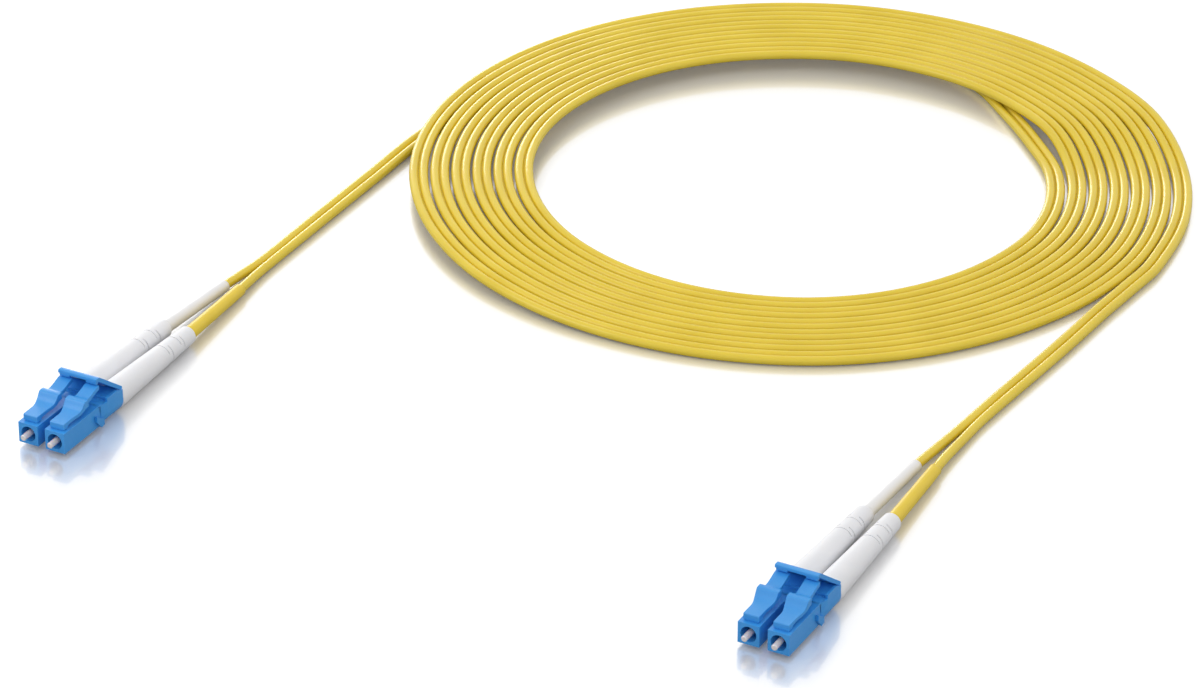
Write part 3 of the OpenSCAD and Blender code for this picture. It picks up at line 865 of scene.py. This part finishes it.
def add_marker_sleeve(end, side):
    start = Vector(boot_point(side, BOOT_LEN)) + SLEEVE_GAP
    stop = Vector(SLEEVE_END[end, side])
    run = stop - start
    reach = run.length
    lip = 0.12
    rings = 24
    profile = [(CORD_BORE_R, 0.0), (SLEEVE_FRONT_R - lip, 0.0), (SLEEVE_FRONT_R, lip)]
    for k in range(1, rings):
        share = k / rings
        # slight waves, as heat leaves in a shrunk tube
        wave = 0.012 * math.sin(share * 19) + 0.008 * math.sin(share * 43 + 1)
        r = SLEEVE_FRONT_R + (SLEEVE_REAR_R - SLEEVE_FRONT_R) * share
        profile.append((r + wave, reach * share))
    profile += [(SLEEVE_REAR_R, reach - lip), (SLEEVE_REAR_R - lip, reach), (CORD_BORE_R, reach)]
    shape = turned_shape(profile, 64)
    aim = Vector((0, 1, 0)).rotation_difference(run).to_matrix().to_4x4()
    place = seat(end) @ Matrix.Translation(start) @ aim
    finish_piece(
        shape,
        f"{end}_{side}_marker_tube",
        place,
        shrink[side],
        "cord",
        [f"{end}_{side}_marker_sleeve"],
        sharp=50,
    )


# ---------- put the connectors together ----------

for end in ENDS:
    add_clip(end)
    add_trigger(end)
    for side in SIDES:
        add_housing(end, side)
        add_latch(end, side)
        add_boot(end, side)
        add_marker_sleeve(end, side)

# The turned, wound and drawn pieces inside the plugs keep their solids.
CORE_FINISH = {
    "ferrule": zirconia,
    "ferrule_flange": steel,
    "spring": spring_wire,
    "fibre": buffer,
    "rear_body": blue,
    "crimp_sleeve": crimp_brass,
}
for end in ENDS:
    for side in SIDES:
        for piece_name, material in CORE_FINISH.items():
            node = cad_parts[f"{end}_{side}_{piece_name}"]
            node.data.materials.clear()
            node.data.materials.append(material)


# ---------- floor, lamps and world ----------


def glossy_floor():
    # Lacquered white board: a soft mirror image hugs what stands on it, under a faint sharp one.
    # Only the camera sees the white and the mirror image; other light meets a plain grey board.
    material, tree, shader = new_material("lacquered_white_board")
    shader.inputs["Roughness"].default_value = 0.3
    shader.inputs["Coat Roughness"].default_value = 0.05
    shader.inputs["Coat IOR"].default_value = 2.0
    ray = tree.nodes.new("ShaderNodeLightPath")
    tone = add_node(
        tree,
        "ShaderNodeMix",
        {
            "Factor": ray.outputs["Is Camera Ray"],
            "A": linear("#b0b0b0"),
            "B": linear("#ffffff"),
        },
        data_type="RGBA",
    )
    mirror = add_node(
        tree, "ShaderNodeMapRange", {"Value": ray.outputs["Is Camera Ray"], "To Max": 0.55}
    )
    glow = add_node(
        tree, "ShaderNodeMapRange", {"Value": ray.outputs["Is Camera Ray"], "To Max": 0.12}
    )
    tree.links.new(tone.outputs["Result"], shader.inputs["Base Color"])
    shader.inputs["Emission Color"].default_value = (1, 1, 1, 1)
    tree.links.new(glow.outputs["Result"], shader.inputs["Emission Strength"])
    tree.links.new(mirror.outputs["Result"], shader.inputs["Metallic"])
    tree.links.new(ray.outputs["Is Camera Ray"], shader.inputs["Coat Weight"])
    return material


bpy.ops.mesh.primitive_plane_add(size=12, location=(0, 1.0, -0.0001))
floor = bpy.context.object
floor.name = "floor"
floor.data.materials.append(glossy_floor())

world = bpy.data.worlds.new("studio")
world.use_nodes = True
world.node_tree.nodes.clear()
# the sky lights the scene softly, and shows plain white to the camera and in mirror images
ray = world.node_tree.nodes.new("ShaderNodeLightPath")
seen = add_node(
    world.node_tree,
    "ShaderNodeMath",
    {0: ray.outputs["Is Camera Ray"], 1: ray.outputs["Is Glossy Ray"]},
    operation="MAXIMUM",
)
strength = add_node(
    world.node_tree,
    "ShaderNodeMapRange",
    {"Value": seen.outputs["Value"], "To Min": 0.88, "To Max": 1.0},
)
sky = add_node(
    world.node_tree,
    "ShaderNodeBackground",
    {"Color": (1, 1, 1, 1), "Strength": strength.outputs["Result"]},
)
sky_out = world.node_tree.nodes.new("ShaderNodeOutputWorld")
world.node_tree.links.new(sky.outputs["Background"], sky_out.inputs["Surface"])
bpy.context.scene.world = world


def add_lamp(name, place, target, size, watts):
    data = bpy.data.lights.new(name, "AREA")
    data.shape = "RECTANGLE"
    data.size, data.size_y = size
    data.energy = watts
    lamp = bpy.data.objects.new(name, data)
    place, target = Vector(place), Vector(target)
    aim = (target - place).to_track_quat("-Z", "Y").to_matrix().to_4x4()
    lamp.matrix_world = Matrix.Translation(place) @ aim
    bpy.context.scene.collection.objects.link(lamp)


add_lamp("key", (-0.8, 0.94, 0.23), (-0.08, 0.137, 0), (0.5, 0.3), 2.4)
add_lamp("fill", (-0.38, -0.25, 0.42), (-0.05, 0, 0), (0.3, 0.3), 0.6)

bpy.context.scene.view_settings.view_transform = "Standard"
